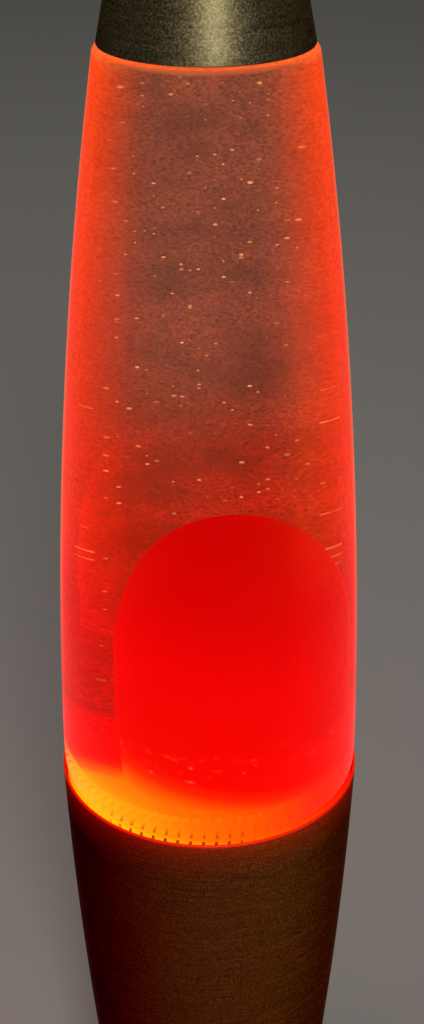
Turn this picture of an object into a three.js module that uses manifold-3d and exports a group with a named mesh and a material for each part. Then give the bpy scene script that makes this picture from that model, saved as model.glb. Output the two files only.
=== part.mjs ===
// Lava lamp: a spun aluminium base, a glass bottle of liquid and wax that stands loose in it, and a
// spun cap that stands loose on the bottle. Millimetres, +Z up, origin on the table under the axis.
import * as THREE from 'three';
import { mergeVertices } from 'three/addons/utils/BufferGeometryUtils.js';
import Module from 'manifold-3d';

const wasm = await Module();
wasm.setup();

// ---- driving dimensions ----
const rimZ = 155; // height of the base rim
const visibleGlass = 200; // from the base rim to the cap rim
const lampHeight = 410;
const rimRadius = 41.35; // outside of the base rim
const spunWall = 0.7; // aluminium shells
const gap = 0.3; // between pieces that touch

const waistZ = 41.5; // top of the foot's web
const bandRadius = 45; // upright band round the foot
const bandTopZ = 16.5;
const footBottomZ = 1.5;
const beadRadius = 1.4; // rolled edge of the foot
const ventCount = 6;
const ventHole = 3.2;
const ventCircle = 27;

const bottleFloorZ = 144.5; // underside of the bottle
const floorThickness = 3;
const glassWall = 2.4;
const heelRadius = 5.5;
const widestGlass = 40.87;
const glassNarrows = 14; // radius lost over the visible glass, with the square of the height
const glassPinches = 0.62; // a little more, close under the cap
const rimDraw = 8; // the glass draws in over this height to enter the base
const neckRadius = 12;
const neckBore = 8.5;
const mouthZ = 383.7;

const capRimZ = rimZ + visibleGlass + gap;
const capRimRadius = 25.6;
const capTaper = 0.196; // radius lost per millimetre of height
const capEdge = 6; // rounding of the top edge

const poolTopZ = 155.5;
const coilRing = 32; // from the axis to the middle of the turns
const coilTurn = 5;
const coilWire = 0.45;
const coilTurns = 70;
const blobX = 4.5; // the blob stands off the axis
const blobRadius = 22.3;
const blobFootRadius = 20.9; // where it meets the pool
const blobBeltZ = 190; // half an ellipsoid above this height
const blobTopZ = 235.7;

const standoffCircle = 22;
const standoffCount = 3;
const plateZ = 3.3; // underside of the bottom plate
const plateThickness = 2;
const rubberCircle = 34;
const grommetZ = 10.8;

const nippleRadius = 5;
const nippleHole = nippleRadius + gap;
const bulbTipZ = 61.6;
const bulbTopZ = 128.4;
const bulbRadius = 19.5;

const bigSides = 24;
const smallSides = 12;

// ---- materials ----
const metal = (color, roughness) => new THREE.MeshStandardMaterial({ color, roughness, metalness: 1 });
const dull = (color, roughness) => new THREE.MeshStandardMaterial({ color, roughness, metalness: 0 });
const clear = (color, opacity) =>
  new THREE.MeshStandardMaterial({ color, roughness: 0.05, metalness: 0, transparent: true, opacity });
const spunAluminium = metal(0xb9b6b0, 0.35);
const zincSteel = metal(0x9c9c98, 0.4);
const brass = metal(0xc9a85a, 0.3);
const bottleGlass = clear(0xf4efe6, 0.3);
const lampFluid = clear(0x8a3a2c, 0.5);
const redWax = dull(0xe01208, 0.5);
const blackPlastic = dull(0x1b1b1c, 0.6);
const blackRubber = dull(0x141414, 0.85);
const whitePlastic = dull(0xe4e0d6, 0.5);

// ---- helpers ----
const lamp = new THREE.Group();

function piece(name, geometry, material, x = 0, y = 0) {
  const mesh = new THREE.Mesh(geometry, material);
  mesh.name = name;
  mesh.position.set(x, y, 0);
  lamp.add(mesh);
}

// A turned body from [radius, z] points that start and end on the axis, or run once round a ring.
function turned(outline, sides = bigSides, ring = false) {
  const points = outline.map(([r, z]) => new THREE.Vector2(r, z));
  if (ring) points.push(points[0].clone());
  if (THREE.ShapeUtils.area(points) < 0) points.reverse();
  return new THREE.LatheGeometry(points, sides).rotateX(Math.PI / 2);
}

const tube = (inner, outer, bottom, top, sides = smallSides) =>
  turned([[inner, bottom], [outer, bottom], [outer, top], [inner, top]], sides, true);

const rod = (radius, bottom, top, sides = smallSides) =>
  turned([[0, bottom], [radius, bottom], [radius, top], [0, top]], sides);

function hexagon(acrossFlats, bottom, top) {
  const geometry = new THREE.CylinderGeometry(1, 1, top - bottom, 6).rotateX(Math.PI / 2);
  const radius = acrossFlats / Math.sqrt(3);
  return geometry.scale(radius, radius, 1).translate(0, 0, (bottom + top) / 2);
}

function solid(geometry) {
  const bare = geometry.clone().deleteAttribute('normal').deleteAttribute('uv');
  const merged = mergeVertices(bare, 1e-4);
  const index = merged.index.array;
  const kept = [];
  for (let i = 0; i < index.length; i += 3) {
    const [a, b, c] = index.slice(i, i + 3);
    if (a !== b && b !== c && c !== a) kept.push(a, b, c);
  }
  const vertProperties = new Float32Array(merged.attributes.position.array);
  const triVerts = new Uint32Array(kept);
  return new wasm.Manifold(new wasm.Mesh({ numProp: 3, vertProperties, triVerts }));
}

function meshOf(manifold) {
  const { vertProperties, triVerts } = manifold.getMesh();
  const geometry = new THREE.BufferGeometry();
  geometry.setAttribute('position', new THREE.BufferAttribute(vertProperties, 3));
  geometry.setIndex(new THREE.BufferAttribute(triVerts, 1));
  geometry.computeVertexNormals();
  return geometry;
}

const cut = (geometry, ...tools) =>
  meshOf(tools.reduce((body, tool) => body.subtract(solid(tool)), solid(geometry)));
const join = (geometry, ...others) =>
  meshOf(others.reduce((body, other) => body.add(solid(other)), solid(geometry)));

// Places evenly spaced round the axis, as [x, y], starting at an angle in degrees.
const around = (count, radius, start) =>
  Array.from({ length: count }, (_, i) => {
    const angle = THREE.MathUtils.degToRad(start + (360 * i) / count);
    return [radius * Math.cos(angle), radius * Math.sin(angle)];
  });

const moved = (geometry, [x, y]) => geometry.clone().translate(x, y, 0);
const steps = (count) => Array.from({ length: count + 1 }, (_, i) => i / count);

// Points on a round corner about a centre, from one angle to another in degrees.
const arc = (centreR, centreZ, radius, from, to, count) =>
  steps(count).map((s) => {
    const angle = THREE.MathUtils.degToRad(from + (to - from) * s);
    return [centreR + radius * Math.cos(angle), centreZ + radius * Math.sin(angle)];
  });

const bent = (path, shape, pathSteps) =>
  new THREE.ExtrudeGeometry(shape, { steps: pathSteps, bevelEnabled: false, extrudePath: path });

function wireSection(radius, sides) {
  const corners = around(sides, radius, 0).map(([x, y]) => new THREE.Vector2(x, y));
  return new THREE.Shape(corners);
}

// ---- outlines shared by pieces that nest ----
// The base cup swells towards its rim.
function cupOutside(z) {
  const drop = (z - rimZ) / visibleGlass;
  return rimRadius * (1 + 0.17 * drop - 0.31 * drop * drop);
}
const cupInside = (z) => cupOutside(z) - spunWall;

// The bottle: a spindle above the rim, and a snug fit in the cup below it.
function bottleOutside(z) {
  if (z < rimZ) return cupInside(z) - gap;
  const t = (z - rimZ) / visibleGlass;
  const spindle = widestGlass - glassNarrows * t ** 2 - glassPinches * t ** 4;
  const drawnIn = Math.max(0, 1 - (z - rimZ) / rimDraw) ** 2;
  return spindle - (widestGlass - cupInside(rimZ) + gap) * drawnIn;
}
const bottleInside = (z) => bottleOutside(z) - glassWall;

const heelZ = bottleFloorZ + heelRadius;
const shoulderZ = rimZ + visibleGlass - 1.2;
const spindleHeights = [
  heelZ, rimZ, rimZ + 3, rimZ + rimDraw, ...steps(8).map((s) => rimZ + 20 + (shoulderZ - rimZ - 20) * s),
];
const insideHeights = [...spindleHeights.slice(1, -1), shoulderZ - 3];
const shoulderRadius = bottleOutside(shoulderZ);
// The glass turns in at the cap's rim, closes to the neck and ends in a bead for the closure.
const shoulderOutside = [
  ...arc(shoulderRadius - 2, shoulderZ - 0.8, 2, 25, 90, 3),
  [17.5, 359.6],
  [13.4, 365],
  [neckRadius, 370],
  [neckRadius, 377.5],
  [neckRadius + 1, 378.6],
  [neckRadius + 1, mouthZ - 0.8],
  [neckRadius + 0.2, mouthZ],
];
const shoulderInside = [
  [22.9, shoulderZ - 1],
  [15.4, 357.4],
  [10.8, 362.6],
  [neckBore, 369],
];

// ---- the base ----
const webTopZ = waistZ + gap + spunWall;

function baseCup() {
  const heights = steps(8).map((s) => webTopZ + (rimZ - webTopZ) * s);
  const outline = [
    [nippleHole, waistZ + gap],
    [cupOutside(waistZ + gap), waistZ + gap],
    ...heights.map((z) => [cupOutside(z), z]),
    ...heights.reverse().map((z) => [cupInside(z), z]),
    [nippleHole, webTopZ],
  ];
  return cut(turned(outline, bigSides, true), ...webHoles(waistZ));
}

// The holes in both webs: standoff studs and air vents.
function webHoles(z) {
  const stud = rod(2.3, z - 3, z + 3, 8);
  const vent = rod(ventHole, z - 3, z + 3, 8);
  return [
    ...around(standoffCount, standoffCircle, 90).map((place) => moved(stud, place)),
    ...around(ventCount, ventCircle, 0).map((place) => moved(vent, place)),
  ];
}

function footFlare() {
  const waistRadius = cupOutside(waistZ);
  const flare = (z) => waistRadius + (bandRadius - waistRadius) * ((waistZ - z) / (waistZ - bandTopZ)) ** 2;
  const heights = steps(6).map((s) => waistZ + (bandTopZ - waistZ) * s);
  const webUnder = waistZ - spunWall;
  const beadCentre = bandRadius + 0.4;
  const outline = [
    [nippleHole, waistZ],
    ...heights.map((z) => [flare(z), z]),
    [bandRadius, 6],
    ...arc(beadCentre, footBottomZ + beadRadius, beadRadius, 75, -110, 5),
    [bandRadius - spunWall, 4.4],
    [bandRadius - spunWall, bandTopZ - 0.4],
    ...heights.slice(1, -1).reverse().map((z) => [flare(z) - spunWall, z - 0.4]),
    [waistRadius - spunWall, webUnder],
    [nippleHole, webUnder],
  ];
  const cordHole = rod(4.4, 35, 55).rotateX(-Math.PI / 2).translate(0, 0, grommetZ);
  return cut(turned(outline, bigSides, true), ...webHoles(waistZ), cordHole);
}

// Pressed ring that rests in the cup's taper and carries the bottle.
function globeSeat() {
  const top = bottleFloorZ - gap;
  const skirtZ = top - 8;
  const outline = [
    [30, top - 0.8],
    [cupInside(top) - 1.9, top - 0.8],
    [cupInside(skirtZ) - 1.2, skirtZ],
    [cupInside(skirtZ) - gap, skirtZ],
    [cupInside(top) - gap, top],
    [30, top],
  ];
  return turned(outline, bigSides, true);
}

function bottomPlate() {
  const top = plateZ + plateThickness;
  const disc = tube(3, bandRadius - spunWall - 1.3, plateZ, top, bigSides);
  const screwHole = rod(1.9, plateZ - 2, top + 2, 8);
  const footHole = rod(3.2, plateZ - 2, top + 2);
  const slot = new THREE.BoxGeometry(10, 2.6, 6).translate(12, 0, plateZ);
  const slots = steps(9).slice(1).map((s) => slot.clone().rotateZ(s * 2 * Math.PI + 0.2));
  return cut(
    disc,
    ...around(standoffCount, standoffCircle, 90).map((place) => moved(screwHole, place)),
    ...around(standoffCount, rubberCircle, 30).map((place) => moved(footHole, place)),
    ...slots,
  );
}

function rubberFoot() {
  const top = plateZ + plateThickness;
  const outline = [
    [0, 0], [5.4, 0], [6, 0.6], [6, plateZ - gap], [2.9, plateZ - gap],
    [2.9, top + gap], [3.9, top + gap], [2.2, top + 2.6], [0, top + 2.6],
  ];
  return turned(outline, smallSides);
}

function plateScrew() {
  const head = plateZ - gap;
  const outline = [
    [0, 1.3], [1.8, 1.3], [3, 2.1], [3, head], [1.4, head], [1.4, plateZ + 10], [0, plateZ + 11],
  ];
  return turned(outline, 12);
}

function standoff() {
  const bottom = plateZ + plateThickness + gap;
  const top = waistZ - spunWall - gap;
  const post = join(hexagon(7, bottom, top), rod(2, top - 1, top + 10, 8));
  return cut(post, rod(1.75, bottom - 1, bottom + 10, 8));
}

const hexNut = (acrossFlats, hole, bottom, top) =>
  cut(hexagon(acrossFlats, bottom, top), rod(hole, bottom - 1, top + 1));

function earthTag(z) {
  const eye = tube(2.4, 4.2, z, z + 0.6);
  const tongue = new THREE.BoxGeometry(3.4, 6, 0.6).translate(0, -6.2, z + 0.3);
  return join(eye, tongue);
}

// Split-groove rubber ring in the band of the foot, its bore level.
function cordGrommet() {
  const wallIn = bandRadius - spunWall;
  const outline = [
    [3, wallIn - 2.4], [5, wallIn - 2.4], [5, wallIn - 1.1], [4, wallIn - 1.1],
    [4, bandRadius + gap], [5, bandRadius + gap], [4.7, bandRadius + 1.5], [3, bandRadius + 1.5],
  ];
  return turned(outline, smallSides, true).rotateX(-Math.PI / 2).translate(0, 0, grommetZ);
}

// ---- lampholder and bulb ----
function lampholderDome() {
  const bottom = webTopZ + gap;
  const outline = [
    [nippleHole, bottom], [10, bottom], [14, bottom + 4], [14, 56], [12.4, 56],
    [12.4, bottom + 4.6], [9.4, bottom + 2.4], [nippleHole, bottom + 2.4],
  ];
  return turned(outline, smallSides, true);
}

function lampholderInsert() {
  const block = rod(11.9, 52.2, 59.8);
  const bore = rod(1.5, 51, 57.2, 8);
  return cut(block, moved(bore, [8, 0]), moved(bore, [-8, 0]));
}

function lampholderSkirt() {
  const outline = [
    [12.3, 56.3], [14, 56.3], [14, 61], [12.6, 62], [12.6, 76], [8.1, 76], [8.1, 60.1], [12.3, 60.1],
  ];
  return turned(outline, smallSides, true);
}

function centreContact() {
  const strip = [
    [-4.5, 60.1], [-2.6, 60.1], [-1, 60.9], [1, 60.9], [2.6, 60.1], [4.5, 60.1],
    [4.5, 60.4], [2.8, 60.4], [1.1, 61.2], [-1.1, 61.2], [-2.8, 60.4], [-4.5, 60.4],
  ];
  const shape = new THREE.Shape(strip.map(([x, z]) => new THREE.Vector2(x, z)));
  const geometry = new THREE.ExtrudeGeometry(shape, { depth: 3, bevelEnabled: false });
  return geometry.translate(0, 0, -1.5).rotateX(Math.PI / 2);
}

const terminalScrew = () =>
  turned([[0, 50.4], [2.4, 50.4], [2.4, 51.9], [1.2, 51.9], [1.2, 56.6], [0, 56.6]], 8);

function bulbScrewCap() {
  const neck = 7.1;
  const outline = [
    [3.2, 65], [5.6, 65.4], [6.9, 67.4], [6.9, 85.6], [neck + 0.9, 86.8], [neck + 0.9, 88],
    [neck + 0.6, 88], [neck + 0.4, 87], [6.6, 86], [6.6, 67.8], [5.4, 65.9], [3.2, 65.5],
  ];
  return turned(outline, smallSides, true);
}

const bulbInsulator = () => turned([[0, 62.7], [2.5, 62.7], [5, 64.6], [2.8, 64.6], [0, 64.6]], smallSides);
const bulbTip = () => turned([[0, bulbTipZ], [1.4, bulbTipZ], [2.3, 62.4], [0, 62.4]], smallSides);

function bulbEnvelope() {
  const wall = 0.8;
  const neck = 6.2;
  const beltZ = bulbTopZ - 10.5;
  const faceHeight = bulbTopZ - beltZ;
  const face = (shrink) => steps(5).map((s) => {
    const angle = (s * Math.PI) / 2;
    return [(bulbRadius - shrink) * Math.cos(angle), beltZ + (faceHeight - shrink) * Math.sin(angle)];
  });
  const outline = [
    [neck, 68.5], [neck, 88.5], [8.5, 92.5], [13, 100], [17, 108.5],
    ...face(0), ...face(wall).reverse(),
    [17 - wall, 109], [13 - wall, 100.6], [8.5 - wall, 93.2], [neck - wall, 89], [neck - wall, 68.5],
  ];
  return turned(outline, bigSides, true);
}

function bulbStem() {
  const outline = [[0, 69], [5, 69], [5, 70], [2.4, 73], [2.4, 88], [1.6, 91], [0, 91]];
  return turned(outline, smallSides);
}

function bulbLead(side) {
  const path = new THREE.CatmullRomCurve3([
    new THREE.Vector3(side * 0.9, 0, 91.3), new THREE.Vector3(side * 3, 0, 96),
    new THREE.Vector3(side * 6.4, 0, 101), new THREE.Vector3(side * 7, 0, 106),
  ]);
  return bent(path, wireSection(0.4, 5), 5);
}

function bulbFilament() {
  const path = new THREE.QuadraticBezierCurve3(
    new THREE.Vector3(-6.1, 0, 105.4), new THREE.Vector3(0, 0, 108.6), new THREE.Vector3(6.1, 0, 105.4),
  );
  return bent(path, wireSection(0.5, 5), 6);
}

// ---- the globe ----
function globeBottle() {
  const floorTop = bottleFloorZ + floorThickness;
  const heelIn = heelRadius - 1.5;
  const heelCentre = bottleOutside(heelZ) - heelRadius;
  const innerHeel = bottleInside(heelZ) - heelIn;
  const outline = [
    [0, bottleFloorZ],
    ...arc(heelCentre, heelZ, heelRadius, -90, -15, 4),
    ...spindleHeights.map((z) => [bottleOutside(z), z]),
    ...shoulderOutside,
    [neckBore, mouthZ],
    ...[...shoulderInside].reverse(),
    ...[...insideHeights].reverse().map((z) => [bottleInside(z), z]),
    ...arc(innerHeel, floorTop + heelIn, heelIn, 0, -90, 3),
    [0, floorTop],
  ];
  return turned(outline);
}

const crownLiner = () => rod(12.4, mouthZ + gap, mouthZ + 1, bigSides);

function crownCap() {
  const under = mouthZ + 1.3;
  const outline = [
    [0, under], [12.8, under], [13.6, under - 0.8], [14, under - 3], [15.4, under - 6],
    [15.8, under - 5.8], [14.4, under - 2.8], [14, under - 0.6], [13, under + 0.4], [0, under + 0.4],
  ];
  return turned(outline);
}

// A spring bent into a ring that almost closes; its two ends meet at the back.
class CoilPath extends THREE.Curve {
  getPoint(t, target = new THREE.Vector3()) {
    const round = THREE.MathUtils.degToRad(91 + 358 * t);
    const turn = 2 * Math.PI * coilTurns * t;
    const radius = coilRing + coilTurn * Math.cos(turn);
    const z = poolBottomZ + coilTurn + coilWire + coilTurn * Math.sin(turn);
    return target.set(radius * Math.cos(round), radius * Math.sin(round), z);
  }
}
const heatingCoil = () => bent(new CoilPath(), wireSection(coilWire, 3), coilTurns * 5);

// The wax that lies on the bottle's floor, inside the ring of the coil.
const poolBottomZ = bottleFloorZ + floorThickness + gap;
const coilTopZ = poolBottomZ + 2 * (coilTurn + coilWire) + gap;
const poolRadius = coilRing - coilTurn - coilWire - gap;
const waxPool = () => rod(poolRadius, poolBottomZ, poolTopZ, bigSides);

// The blob: an upright body with a round top, grown by a margin for the space it takes in the liquid.
function blobBody(margin, bottom) {
  const radius = blobRadius + margin;
  const height = blobTopZ + margin - blobBeltZ;
  const dome = arc(0, 0, 1, 0, 90, 9).map(([r, z]) => [r * radius, blobBeltZ + z * height]);
  return turned([[0, bottom], [blobFootRadius + margin, bottom], [radius - 0.2, blobBeltZ - 12], ...dome]);
}

function liquid() {
  const start = poolTopZ + gap;
  const heights = insideHeights.filter((z) => z > coilTopZ);
  const shoulder = shoulderInside.slice(0, 2).map(([r, z]) => [r - 0.5, z - gap]);
  const outline = [
    [0, start],
    [poolRadius, start],
    [poolRadius, coilTopZ],
    [bottleInside(coilTopZ) - gap, coilTopZ],
    ...heights.map((z) => [bottleInside(z) - gap, z]),
    ...shoulder,
    [0, shoulder[1][1]],
  ];
  return cut(turned(outline), moved(blobBody(gap, start - 1), [blobX, 0]));
}

// ---- the top cap ----
function topCap() {
  const straightTop = lampHeight - capEdge;
  const outside = (z) => capRimRadius - capTaper * (z - capRimZ);
  const edgeCentre = outside(straightTop) - capEdge;
  const outline = [
    [capRimRadius - spunWall, capRimZ], [capRimRadius, capRimZ], [outside(straightTop), straightTop],
    ...arc(edgeCentre, straightTop, capEdge, 15, 90, 4), [0, lampHeight],
    [0, lampHeight - spunWall],
    ...arc(edgeCentre, straightTop, capEdge - spunWall, 90, 15, 4),
    [outside(straightTop) - spunWall, straightTop],
  ];
  return turned([...outline, outline[0]]);
}

// ---- assembly ----
piece('base_cup', baseCup(), spunAluminium);
piece('foot_flare', footFlare(), spunAluminium);
piece('globe_seat', globeSeat(), zincSteel);
piece('bottom_plate', bottomPlate(), blackPlastic);
piece('cord_grommet', cordGrommet(), blackRubber);
around(standoffCount, standoffCircle, 90).forEach(([x, y], i) => {
  const nutZ = webTopZ + gap + (i === 0 ? 0.9 : 0);
  piece(`standoff_${i + 1}`, standoff(), zincSteel, x, y);
  piece(`standoff_nut_${i + 1}`, hexNut(7, 2.3, nutZ, nutZ + 3.2), zincSteel, x, y);
  piece(`plate_screw_${i + 1}`, plateScrew(), zincSteel, x, y);
  if (i === 0) piece('earth_tag', earthTag(webTopZ + gap), brass, x, y);
});
around(standoffCount, rubberCircle, 30).forEach(([x, y], i) => {
  piece(`rubber_foot_${i + 1}`, rubberFoot(), blackRubber, x, y);
});

const washerTop = waistZ - spunWall - gap;
piece('threaded_nipple', tube(3.6, nippleRadius, 33, 49.6), zincSteel);
piece('nipple_washer', tube(nippleHole, 9, washerTop - 0.8, washerTop), zincSteel);
piece('nipple_nut', hexNut(14, nippleHole, washerTop - 4.6, washerTop - 1.1), zincSteel);
piece('lampholder_dome', lampholderDome(), whitePlastic);
piece('lampholder_insert', lampholderInsert(), whitePlastic);
piece('lampholder_skirt', lampholderSkirt(), whitePlastic);
piece('lampholder_thread', tube(7.3, 7.7, 60.1, 74.6), brass);
piece('centre_contact', centreContact(), brass);
piece('terminal_screw_1', terminalScrew(), brass, 8);
piece('terminal_screw_2', terminalScrew(), brass, -8);

piece('bulb_envelope', bulbEnvelope(), bottleGlass);
piece('bulb_screw_cap', bulbScrewCap(), brass);
piece('bulb_insulator', bulbInsulator(), blackPlastic);
piece('bulb_tip', bulbTip(), zincSteel);
piece('bulb_stem', bulbStem(), bottleGlass);
piece('bulb_lead_1', bulbLead(1), zincSteel);
piece('bulb_lead_2', bulbLead(-1), zincSteel);
piece('bulb_filament', bulbFilament(), zincSteel);

piece('globe_bottle', globeBottle(), bottleGlass);
piece('crown_liner', crownLiner(), blackRubber);
piece('crown_cap', crownCap(), zincSteel);
piece('heating_coil', heatingCoil(), zincSteel);
piece('liquid', liquid(), lampFluid);
piece('wax_pool', waxPool(), redWax);
piece('wax_blob', blobBody(0, poolTopZ + gap), redWax, blobX);

piece('top_cap', topCap(), spunAluminium);

export default lamp;
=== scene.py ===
import math

import bmesh
import bpy
from mathutils import Matrix, Vector, noise


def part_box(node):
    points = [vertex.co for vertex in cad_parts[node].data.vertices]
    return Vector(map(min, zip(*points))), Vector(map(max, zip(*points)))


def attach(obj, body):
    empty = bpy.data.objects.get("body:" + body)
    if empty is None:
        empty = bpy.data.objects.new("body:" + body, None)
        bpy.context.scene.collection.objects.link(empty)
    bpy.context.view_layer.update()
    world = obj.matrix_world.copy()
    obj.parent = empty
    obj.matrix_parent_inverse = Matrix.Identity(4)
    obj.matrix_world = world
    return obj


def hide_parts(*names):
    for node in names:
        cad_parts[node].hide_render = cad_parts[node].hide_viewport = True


mm = 0.001

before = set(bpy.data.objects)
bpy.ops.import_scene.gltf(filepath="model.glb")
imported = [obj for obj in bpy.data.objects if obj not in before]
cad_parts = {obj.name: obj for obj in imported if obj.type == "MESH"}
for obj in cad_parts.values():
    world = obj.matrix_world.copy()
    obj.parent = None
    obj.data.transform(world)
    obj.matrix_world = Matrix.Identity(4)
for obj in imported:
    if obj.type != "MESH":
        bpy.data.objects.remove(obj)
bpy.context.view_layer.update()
print("frame loaded:", len(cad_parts), "nodes")


# ---------- places, in millimetres, from the frame ----------
def lowOf(name):
    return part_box(name)[0] / mm


def highOf(name):
    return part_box(name)[1] / mm


def middleOf(name):
    return (lowOf(name) + highOf(name)) / 2


rimZ = highOf("base_cup").z
capRimZ = lowOf("top_cap").z
lampTop = highOf("top_cap").z
glassTall = capRimZ - rimZ
rimRadius = highOf("base_cup").x
shell = 0.7  # wall of the spun aluminium
fit = 0.3  # gap between pieces that touch
nippleHole = 5.3  # radius of the hole that the threaded nipple passes through


# ---------- small tools ----------
def fromHex(code):
    # sRGB hex to the linear colour that shaders use
    parts = [int(code[i : i + 2], 16) / 255 for i in (1, 3, 5)]
    return (*[c / 12.92 if c <= 0.04045 else ((c + 0.055) / 1.055) ** 2.4 for c in parts], 1.0)


def setSockets(tree, node, sockets):
    # a socket takes a value, another node's output, or a node, which stands for its first output
    for key, value in sockets.items():
        if isinstance(value, bpy.types.Node):
            value = value.outputs[0]
        if isinstance(value, bpy.types.NodeSocket):
            tree.links.new(value, node.inputs[key])
        else:
            node.inputs[key].default_value = value


def addNode(tree, kind, sockets=None, **settings):
    made = tree.nodes.new("ShaderNode" + kind)
    for key, value in settings.items():
        setattr(made, key, value)
    setSockets(tree, made, sockets or {})
    return made


def setRamp(ramp, *stops):
    # stops are (place, colour) or (place, grey level); the ramp starts with two of its own
    elements = ramp.color_ramp.elements
    while len(elements) < len(stops):
        elements.new(1.0)
    for element, (place, shade) in zip(elements, stops):
        element.position = place
        element.color = fromHex(shade) if isinstance(shade, str) else (shade, shade, shade, 1.0)
    return ramp


def newMaterial(name):
    material = bpy.data.materials.new(name)
    material.use_nodes = True
    tree = material.node_tree
    return material, tree, tree.nodes["Principled BSDF"]


def linkObject(name, data):
    made = bpy.data.objects.new(name, data)
    bpy.context.scene.collection.objects.link(made)
    return made


def filleted(corners, turns=4):
    # corners are (radius, height) or (radius, height, fillet); a fillet rounds its corner
    out = []
    for i, corner in enumerate(corners):
        here = Vector(corner[:2])
        size = corner[2] if len(corner) > 2 else 0
        if not size:
            out.append(tuple(here))
            continue
        before = Vector(corners[i - 1][:2])
        after = Vector(corners[(i + 1) % len(corners)][:2])
        start = here + (before - here).normalized() * size
        end = here + (after - here).normalized() * size
        for step in range(turns + 1):
            t = step / turns
            out.append(tuple(start * (1 - t) ** 2 + here * 2 * t * (1 - t) + end * t * t))
    return out


def finishPiece(name, bm, materials, body, node, crease=32):
    # One way out for every new piece: smooth shading with sharp corners kept, body and node
    mesh = bpy.data.meshes.new(name)
    bm.to_mesh(mesh)
    bm.free()
    mesh.transform(Matrix.Scale(mm, 4))
    mesh.polygons.foreach_set("use_smooth", [True] * len(mesh.polygons))
    mesh.set_sharp_from_angle(angle=math.radians(crease))
    piece = linkObject(name, mesh)
    for material in materials:
        mesh.materials.append(material)
    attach(piece, body)
    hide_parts(node)
    return piece


def spunMesh(outline, sides=160, ring=False):
    # The outline goes once round the lamp's axis
    bm = bmesh.new()
    points = [bm.verts.new((r, 0, z)) for r, z in outline]
    edges = [bm.edges.new(pair) for pair in zip(points, points[1:])]
    if ring:
        edges.append(bm.edges.new((points[-1], points[0])))
    bmesh.ops.spin(
        bm,
        geom=points + edges,
        cent=(0, 0, 0),
        axis=(0, 0, 1),
        angle=2 * math.pi,
        steps=sides,
        use_merge=True,
    )
    bmesh.ops.remove_doubles(bm, verts=bm.verts, dist=1e-4)
    bmesh.ops.recalc_face_normals(bm, faces=bm.faces)
    return bm


def moveTo(bm, x, y, z=0.0):
    bmesh.ops.translate(bm, verts=bm.verts, vec=(x, y, z))
    return bm


def layAlongY(bm):
    bmesh.ops.rotate(bm, verts=bm.verts, matrix=Matrix.Rotation(math.radians(-90), 3, "X"))
    return bm


def span(low, high, count):
    return [low + (high - low) * i / count for i in range(count + 1)]


def placesRound(count, radius, start):
    turns = [math.radians(start + 360 * i / count) for i in range(count)]
    return [(radius * math.cos(a), radius * math.sin(a)) for a in turns]


# ---------- camera, floor and light ----------
view = {
    "away": 2.01,  # in glass heights, from the axis
    "up": 1.45,  # in glass heights, above the base rim
    "pitch": 27.85,
    "yaw": 0.14,
    "roll": -0.19,
    "lens": 60.79,
}


def makeCamera():
    data = bpy.data.cameras.new("camera")
    data.sensor_width = 36
    data.lens = view["lens"]
    camera = linkObject("camera", data)
    pitch, yaw, roll = (math.radians(view[key]) for key in ("pitch", "yaw", "roll"))
    level = math.cos(pitch)
    ahead = Vector((math.sin(yaw) * level, math.cos(yaw) * level, -math.sin(pitch)))
    right = ahead.cross(Vector((0, 0, 1))).normalized()
    up = right.cross(ahead)
    rightTurned = right * math.cos(roll) + up * math.sin(roll)
    upTurned = up * math.cos(roll) - right * math.sin(roll)
    place = Vector((0, -view["away"] * glassTall, rimZ + view["up"] * glassTall)) * mm
    facing = Matrix((rightTurned, upTurned, -ahead)).transposed().to_4x4()
    camera.matrix_world = Matrix.Translation(place) @ facing
    bpy.context.scene.camera = camera


makeCamera()

studio = {
    "floor": "#cfcbc4",
    "world": "#8f8d8a",
    "worldStrength": 0.19,
    # red and amber light on the metal, such as a lit lamp gets back from its own glow on a table:
    # name, place, aimed at, watts, cone in degrees, colour
    "spots": (
        ("red glow", (-0.75, -1.3, 1.1), (-0.16, -0.26, 0), 22.0, 17, "#ff1a04"),
        ("amber glow", (0.5, -1.4, 1.1), (0.08, -0.24, 0), 8.0, 15, "#ff7a30"),
        ("cap glow", (0.72, 0.12, 0.62), (0, 0, 0.385), 3.0, 7, "#ff3c14"),
    ),
    # name, place, aimed at, watts, width, height
    "softboxes": (
        ("front strip", (0.2, -1.25, 0.85), (0, 0, 0.35), 5.2, 0.24, 0.8),
        ("overhead softbox", (-0.5, 0.1, 1.9), (0, 0, 0), 5.5, 1.4, 1.4),
    ),
}


def placeLight(data, place, aim):
    light = linkObject(data.name, data)
    light.location = place
    light.rotation_euler = (Vector(aim) - Vector(place)).to_track_quat("-Z", "Y").to_euler()


def makeStudio():
    bpy.context.scene.view_settings.view_transform = "Standard"
    material, tree, shader = newMaterial("matte backdrop board")
    setSockets(tree, shader, {"Base Color": fromHex(studio["floor"]), "Roughness": 0.9})
    bm = bmesh.new()
    bmesh.ops.create_grid(bm, x_segments=1, y_segments=1, size=9.0)
    mesh = bpy.data.meshes.new("floor")
    bm.to_mesh(mesh)
    bm.free()
    mesh.materials.append(material)
    floor = linkObject("floor", mesh)

    world = bpy.data.worlds.new("studio")
    bpy.context.scene.world = world
    world.use_nodes = True
    tree = world.node_tree
    background = {"Color": fromHex(studio["world"]), "Strength": studio["worldStrength"]}
    setSockets(tree, tree.nodes["Background"], background)

    for name, place, aim, watts, cone, colour in studio["spots"]:
        data = bpy.data.lights.new(name, "SPOT")
        data.energy = watts
        data.color = fromHex(colour)[:3]
        data.spot_size = math.radians(cone)
        data.spot_blend = 1.0
        data.shadow_soft_size = 0.1
        placeLight(data, place, aim)
    for name, place, aim, watts, width, height in studio["softboxes"]:
        data = bpy.data.lights.new(name, "AREA")
        data.shape = "RECTANGLE"
        data.size = width
        data.size_y = height
        data.energy = watts
        placeLight(data, place, aim)


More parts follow.
